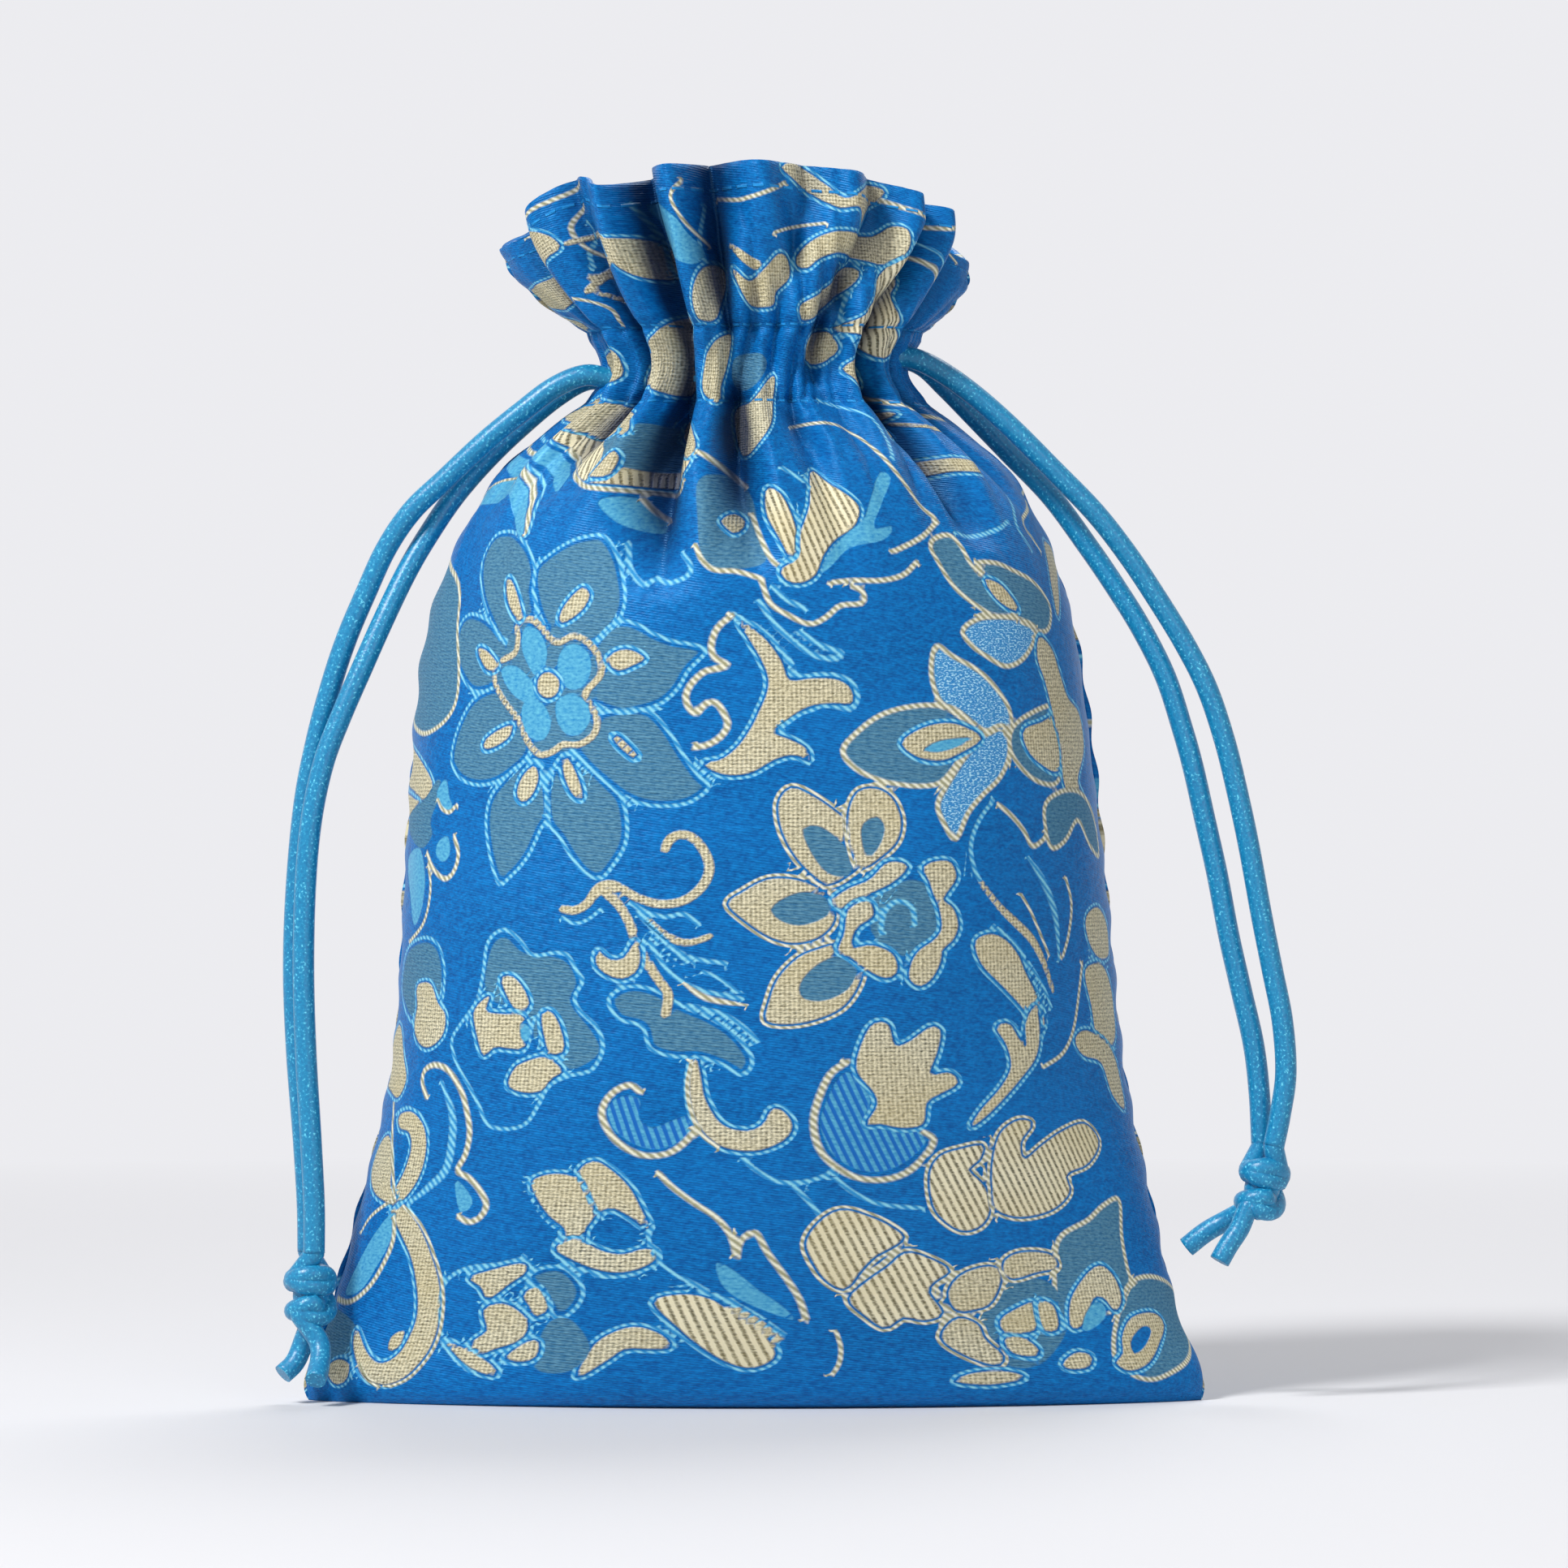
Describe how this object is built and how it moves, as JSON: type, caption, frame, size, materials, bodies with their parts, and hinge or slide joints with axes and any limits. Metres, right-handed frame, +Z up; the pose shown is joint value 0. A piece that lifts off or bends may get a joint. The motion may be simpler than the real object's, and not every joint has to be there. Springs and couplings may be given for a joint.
{
  "type": "kinchaku drawstring pouch",
  "caption": "Gathered cloth pouch with a flat-standing base, a cord casing at the neck, an open ruffle above it and two knotted drawcords.",
  "frame": {"origin": "on the floor under the middle of the pouch", "axes": "+Z up through the neck, +X to the right across the pouch's width, front of the pouch towards -Y"},
  "size_m": [0.1228, 0.0532, 0.1482],
  "materials": {
    "brocade": "satin ground with woven flowers in gold, pale blue and blue grey thread",
    "braid": "glossy fine braid"
  },
  "bodies": {
    "root": {"front_panel": "brocade", "back_panel": "brocade", "left_cord": "braid", "right_cord": "braid", "left_knot": "braid", "right_knot": "braid"}
  },
  "joints": []
}
